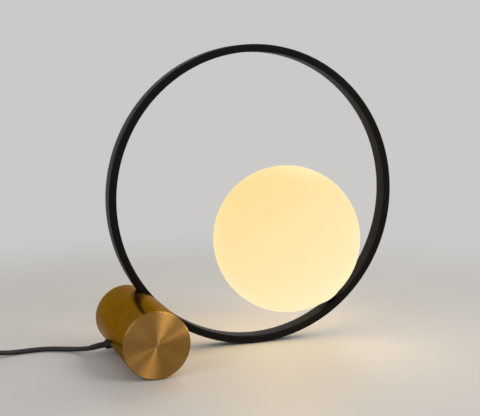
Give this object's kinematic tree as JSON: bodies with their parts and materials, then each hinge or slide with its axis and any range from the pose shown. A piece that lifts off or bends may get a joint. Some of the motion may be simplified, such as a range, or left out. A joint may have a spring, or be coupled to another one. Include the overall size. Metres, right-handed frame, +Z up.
{
  "type": "table lamp",
  "caption": "Table lamp: a black hoop stands in a slot across a brass cylinder and carries an opal glass globe inside it, with a mains cord, in-line rocker switch and plug.",
  "frame": {"origin": "on the table under the hoop's lowest point, at the middle of the hoop's rubber foot", "axes": "+Z up, +X along the hoop's plane from the brass cylinder towards the globe, +Y along the brass cylinder towards its shorter, rear end"},
  "size_m": [0.7189, 0.2233, 0.4008],
  "materials": {
    "brass": "satin brushed, aged to a warm bronze tone, the ends spun",
    "black_metal": "satin black powder coat",
    "opal_glass": "gloss, white opal all through, lit from inside",
    "clear_glass": "gloss",
    "rubber": "matte",
    "cord_sheath": "matte",
    "black_plastic": "fine matte",
    "white_plastic": "matte",
    "steel": "zinc plated",
    "nickel": "nickel plated",
    "cast_iron": "as cast"
  },
  "bodies": {
    "lamp": {"base_barrel": "brass", "front_cap": "brass", "rear_cap": "brass", "front_cap_seal": "rubber", "rear_cap_seal": "rubber", "front_ballast": "cast_iron", "rear_ballast": "cast_iron", "hoop_clamp": "cast_iron", "clamp_screw_front": "steel", "clamp_screw_rear": "steel", "terminal_block": "white_plastic", "inner_lead": "cord_sheath", "front_foot": "rubber", "rear_foot": "rubber", "hoop": "black_metal", "hoop_wire": "white_plastic", "hoop_foot": "rubber", "fitting_foot": "black_metal", "gallery": "black_metal", "nipple": "steel", "hoop_nut": "steel", "collar_gasket": "rubber", "lampholder": "white_plastic", "bulb_cap": "nickel", "bulb": "clear_glass", "switch_lower": "black_plastic", "switch_upper": "black_plastic", "rocker_pin": "steel", "switch_screw_lamp_side": "steel", "switch_screw_plug_side": "steel", "contact_lamp_side": "nickel", "contact_plug_side": "nickel", "plug_body": "black_plastic", "plug_pin_left": "nickel", "plug_pin_right": "nickel", "cord_bush": "rubber", "cord_lead": "cord_sheath", "cord_coil": "cord_sheath", "cord_tie": "rubber"},
    "globe": {"globe": "opal_glass", "globe_collar": "black_metal"},
    "rocker": {"switch_rocker": "black_plastic"}
  },
  "joints": [
    {"name": "globe_twist", "type": "hinge", "parent": "lamp", "child": "globe", "pos_m": [0.11619, 0, 0.05047], "axis": [-0.6115, 0, 0.7912], "range_deg": [0, 60]},
    {"name": "switch_rocker", "type": "hinge", "parent": "lamp", "child": "rocker", "pos_m": [-0.38, 0.042, 0.0154], "axis": [0, -1, 0], "range_deg": [0, 16]}
  ]
}
